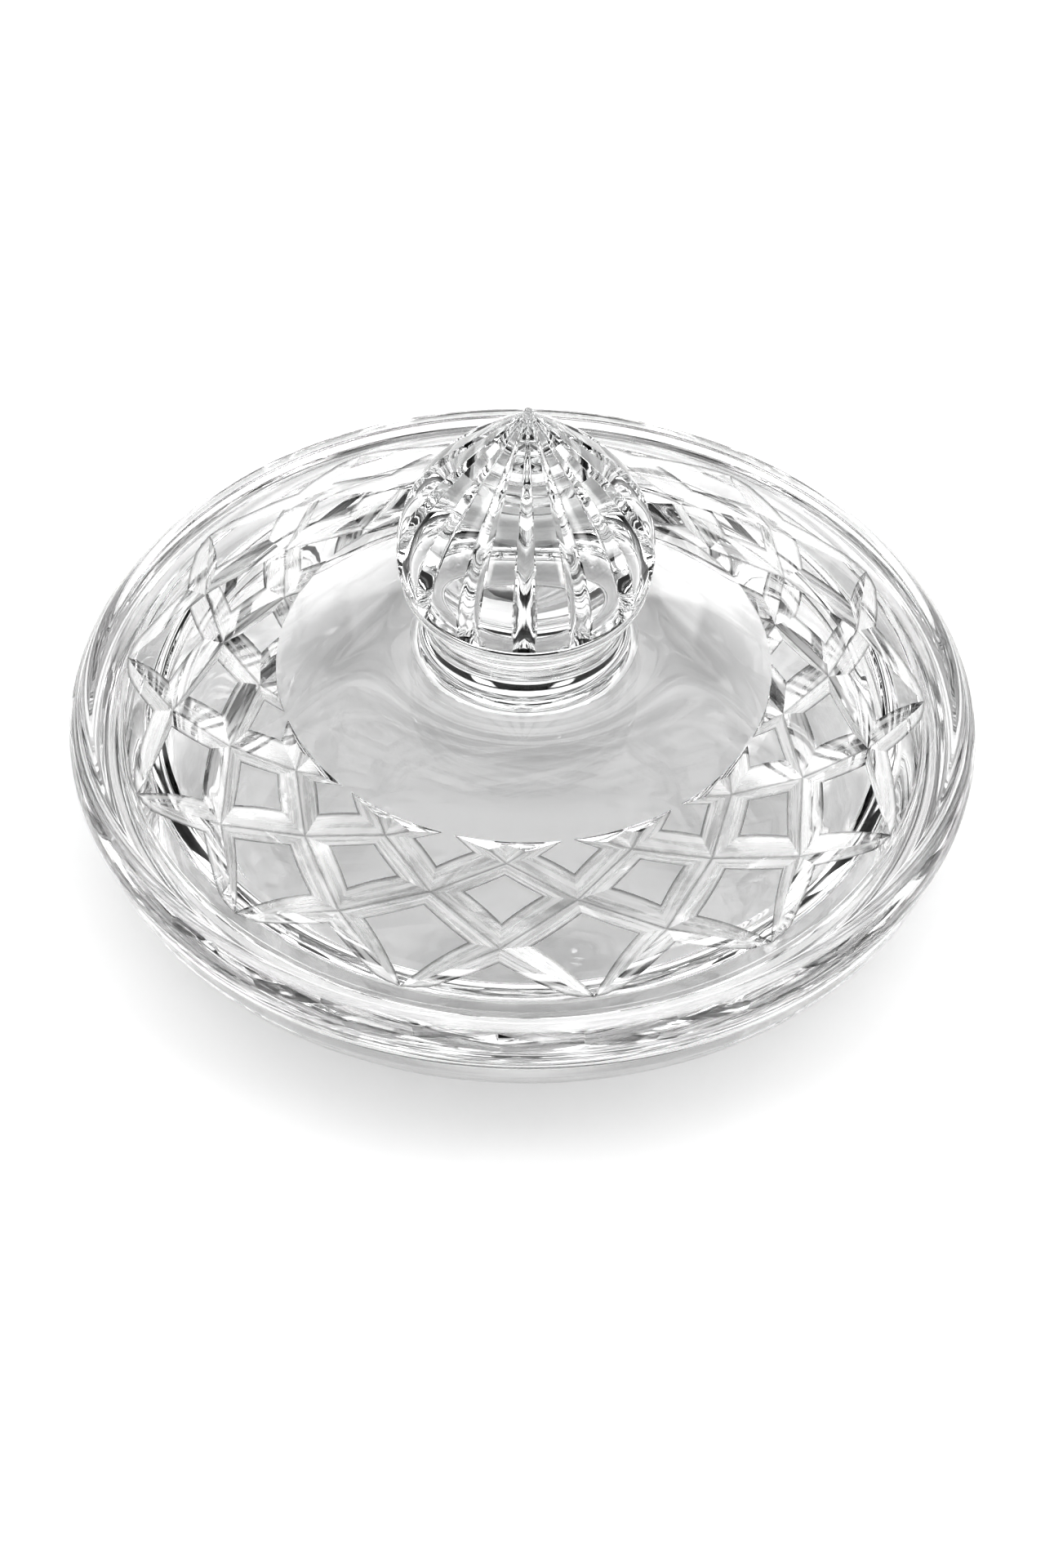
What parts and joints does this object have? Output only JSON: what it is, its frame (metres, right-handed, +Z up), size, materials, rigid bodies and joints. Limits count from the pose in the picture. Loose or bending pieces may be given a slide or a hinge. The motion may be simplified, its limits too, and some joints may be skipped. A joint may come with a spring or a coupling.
{
  "type": "powder jar",
  "caption": "Round cut-glass powder jar: a low bowl under a shallow domed lid with a lattice-cut band, lifted off by a pointed fluted knob.",
  "frame": {"origin": "centre of the flat base that the bowl stands on, at the surface it stands on", "axes": "+Z up along the jar's axis, the way the lid lifts; +X and +Y across the round bowl"},
  "size_m": [0.1148, 0.1148, 0.078],
  "materials": {
    "crystal": "clear polished lead crystal with mitre cuts"
  },
  "bodies": {
    "bowl": {"bowl": "crystal"},
    "lid": {"lid_dome": "crystal", "lid_knob": "crystal"}
  },
  "joints": [
    {"name": "lid_lift", "type": "slide", "parent": "bowl", "child": "lid", "axis": [0, 0, 1], "range_m": [0, 0.05]}
  ]
}
